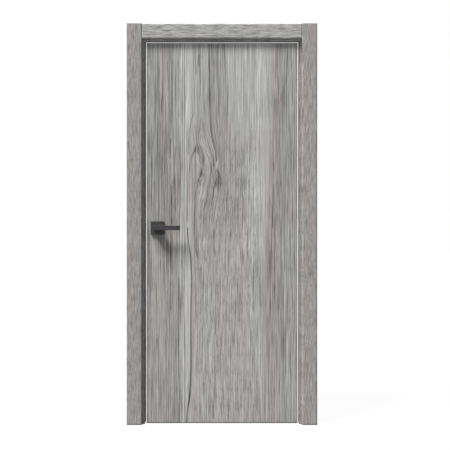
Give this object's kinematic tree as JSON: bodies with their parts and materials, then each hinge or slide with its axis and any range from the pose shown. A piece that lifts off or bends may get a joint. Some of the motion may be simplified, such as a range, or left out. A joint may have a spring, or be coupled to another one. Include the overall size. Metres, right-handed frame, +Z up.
{
  "type": "interior door",
  "caption": "Flush wood-look interior door with aluminium edges in a rebated frame with flat casings, concealed hinges and a lever handle on a square rosette.",
  "frame": {"origin": "on the hinge jamb's outer face, at the middle of the frame's depth, at floor level", "axes": "+X to the right as seen from the side that the leaf opens to, +Y into the doorway away from that side, +Z up"},
  "size_m": [0.9955, 0.143, 2.0975],
  "materials": {
    "leaf_laminate": "matt grey wood-grain laminate",
    "casing_laminate": "matt grey wood-grain laminate",
    "frame_laminate": "matt grey wood-grain laminate",
    "core_board": "raw board",
    "edge_aluminium": "satin anodised",
    "handle_black": "matt powder coat",
    "seal_rubber": "matt",
    "hinge_metal": "satin",
    "fitting_steel": "brushed"
  },
  "bodies": {
    "frame": {"hinge_jamb": "frame_laminate", "lock_jamb": "frame_laminate", "frame_head": "frame_laminate", "hinge_side_seal": "seal_rubber", "lock_side_seal": "seal_rubber", "head_seal": "seal_rubber", "strike_plate": "fitting_steel", "front_hinge_casing": "casing_laminate", "front_lock_casing": "casing_laminate", "front_head_casing": "casing_laminate", "back_hinge_casing": "casing_laminate", "back_lock_casing": "casing_laminate", "back_head_casing": "casing_laminate", "top_hinge_jamb_cup": "hinge_metal", "top_hinge_jamb_pin": "fitting_steel", "bottom_hinge_jamb_cup": "hinge_metal", "bottom_hinge_jamb_pin": "fitting_steel"},
    "leaf": {"leaf_core": "core_board", "front_skin": "leaf_laminate", "back_skin": "leaf_laminate", "hinge_edge_strip": "edge_aluminium", "lock_edge_strip": "edge_aluminium", "top_edge_strip": "edge_aluminium", "lock_faceplate": "fitting_steel", "lock_case": "fitting_steel", "latch_bolt": "fitting_steel", "front_rosette": "handle_black", "back_rosette": "handle_black", "top_hinge_leaf_cup": "hinge_metal", "top_hinge_leaf_pin": "fitting_steel", "bottom_hinge_leaf_cup": "hinge_metal", "bottom_hinge_leaf_pin": "fitting_steel"},
    "hinge_links": {"top_hinge_link": "hinge_metal", "bottom_hinge_link": "hinge_metal"},
    "levers": {"front_lever": "handle_black", "back_lever": "handle_black", "spindle": "fitting_steel"}
  },
  "joints": [
    {"name": "leaf_swing", "type": "hinge", "parent": "frame", "child": "leaf", "pos_m": [-0.0355, -0.045, 1.005], "axis": [0, 0, 1], "range_deg": [0, 100]},
    {"name": "hinge_link_turn", "type": "hinge", "parent": "frame", "child": "hinge_links", "pos_m": [-0.0265, -0.02, 1.005], "axis": [0, 0, 1], "range_deg": [0, 50]},
    {"name": "lever_turn", "type": "hinge", "parent": "leaf", "child": "levers", "pos_m": [-0.777, -0.02, 1.03], "axis": [0, 1, 0], "range_deg": [0, 40], "stiffness_Nm_per_rad": 1.5, "springref_deg": -22.92}
  ],
  "couplings": [
    {"joint": "hinge_link_turn", "follows": "leaf_swing", "ratio": 0.5}
  ]
}
